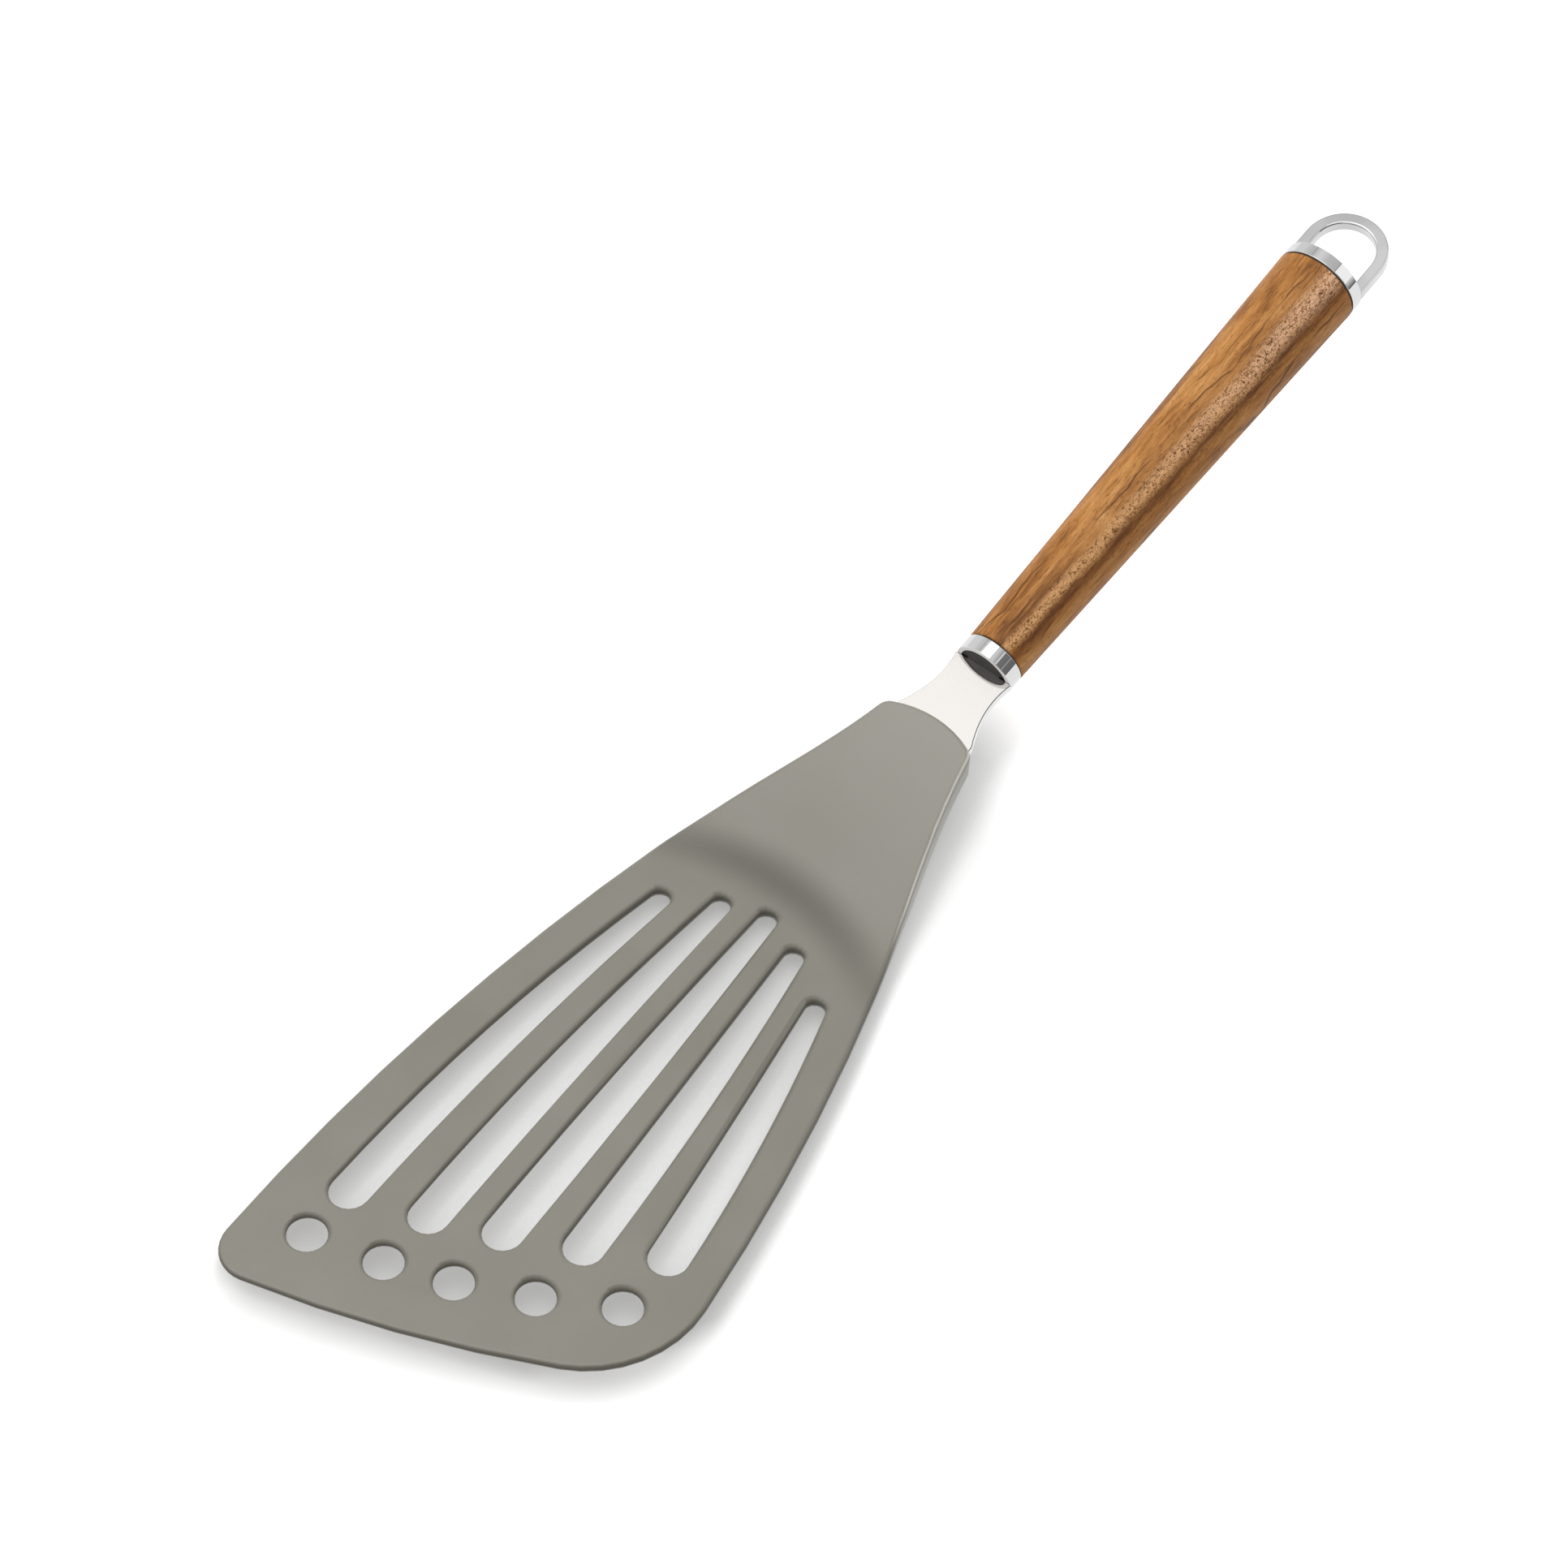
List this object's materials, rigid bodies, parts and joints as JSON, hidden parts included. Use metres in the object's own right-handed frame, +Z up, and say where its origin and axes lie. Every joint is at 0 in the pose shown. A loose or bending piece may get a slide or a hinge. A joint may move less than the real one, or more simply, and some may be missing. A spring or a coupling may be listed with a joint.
{
  "type": "slotted spatula",
  "caption": "Slotted turner: a soft, asymmetric slotted head with a front row of round holes, a polished flat shank, a tapered wooden handle and a polished hanging loop.",
  "frame": {"origin": "the point on the blade's flat underside where the middle line of the handle meets it, at the bend of the neck", "axes": "+X from the blade towards the handle, +Y towards the blade's long side, +Z up out of the blade's upper face"},
  "size_m": [0.3369, 0.0844, 0.0509],
  "materials": {
    "silicone": "matte, fine-grained silicone",
    "plain_steel": "plain, as rolled",
    "polished_steel": "mirror-polished stainless steel",
    "dark_plastic": "satin",
    "washer_rubber": "matte",
    "wood": "oiled, satin"
  },
  "bodies": {
    "root": {"head": "silicone", "core_plate": "plain_steel", "core_rivets": "plain_steel", "shank": "polished_steel", "ferrule": "polished_steel", "ferrule_plug": "dark_plastic", "front_washer": "washer_rubber", "handle": "wood", "tie_rod": "plain_steel", "rear_washer": "washer_rubber", "rear_band": "polished_steel", "hanging_loop": "polished_steel"}
  },
  "joints": []
}
